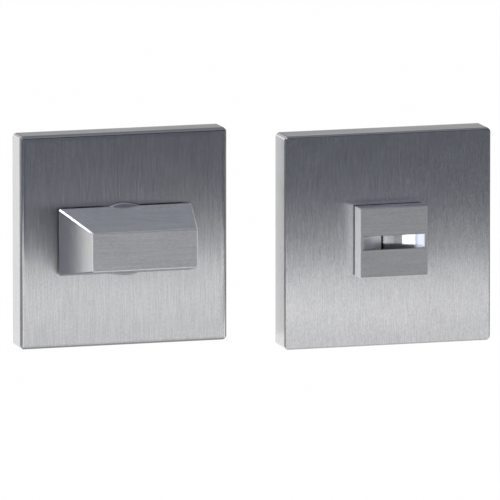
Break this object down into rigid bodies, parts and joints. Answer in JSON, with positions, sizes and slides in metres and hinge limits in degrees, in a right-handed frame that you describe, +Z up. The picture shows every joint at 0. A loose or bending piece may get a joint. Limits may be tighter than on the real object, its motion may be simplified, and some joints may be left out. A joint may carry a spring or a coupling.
{
  "type": "toilet door turn and release set",
  "caption": "Toilet door lock set in brushed steel: square rose with a tapered thumb turn, and a matching rose with a square coin-slot emergency release, with spindle and through fixings.",
  "frame": {"origin": "where the turn's spindle axis crosses the turn half's door face, midway between its two bolts", "axes": "both fronts face -Y, +Z is up, +X runs from the turn half towards the release half; the release half's spindle axis stands at x 64.4 mm and its door face at y -19.3 mm"},
  "size_m": [0.1194, 0.0827, 0.055],
  "materials": {
    "rose_steel": "fine vertical brushing",
    "knob_steel": "fine brushing along the block",
    "button_steel": "fine level brushing, slot polished",
    "plate_moulding": "moulded, fine texture",
    "bush_nylon": "natural nylon",
    "spring_steel": "hardened, dark",
    "spindle_steel": "bright drawn",
    "fixing_steel": "zinc plated"
  },
  "bodies": {
    "roses": {"turn_cover_rose": "rose_steel", "turn_backplate": "plate_moulding", "turn_cover_clips": "spring_steel", "turn_bush": "bush_nylon", "turn_thrust_washer": "bush_nylon", "turn_spring_washer": "spring_steel", "fixing_screws": "fixing_steel", "release_cover_rose": "rose_steel", "release_backplate": "plate_moulding", "release_cover_clips": "spring_steel", "release_bush": "bush_nylon", "release_thrust_washer": "bush_nylon", "release_spring_washer": "spring_steel", "release_sleeve_nuts": "fixing_steel"},
    "thumb_turn": {"turn_knob": "knob_steel", "turn_neck": "knob_steel", "turn_spindle": "spindle_steel", "turn_spindle_screw": "spindle_steel", "turn_circlip": "spring_steel"},
    "coin_release": {"release_button": "button_steel", "release_hub": "button_steel", "release_circlip": "spring_steel"}
  },
  "joints": [
    {"name": "thumb_turn_turn", "type": "hinge", "parent": "roses", "child": "thumb_turn", "pos_m": [0, 0, 0], "axis": [0, -1, 0], "range_deg": [-90, 90]},
    {"name": "coin_release_turn", "type": "hinge", "parent": "roses", "child": "coin_release", "pos_m": [0.0644, -0.0193, 0], "axis": [0, -1, 0], "range_deg": [-90, 90]}
  ],
  "couplings": [
    {"joint": "coin_release_turn", "follows": "thumb_turn_turn", "ratio": -1}
  ]
}
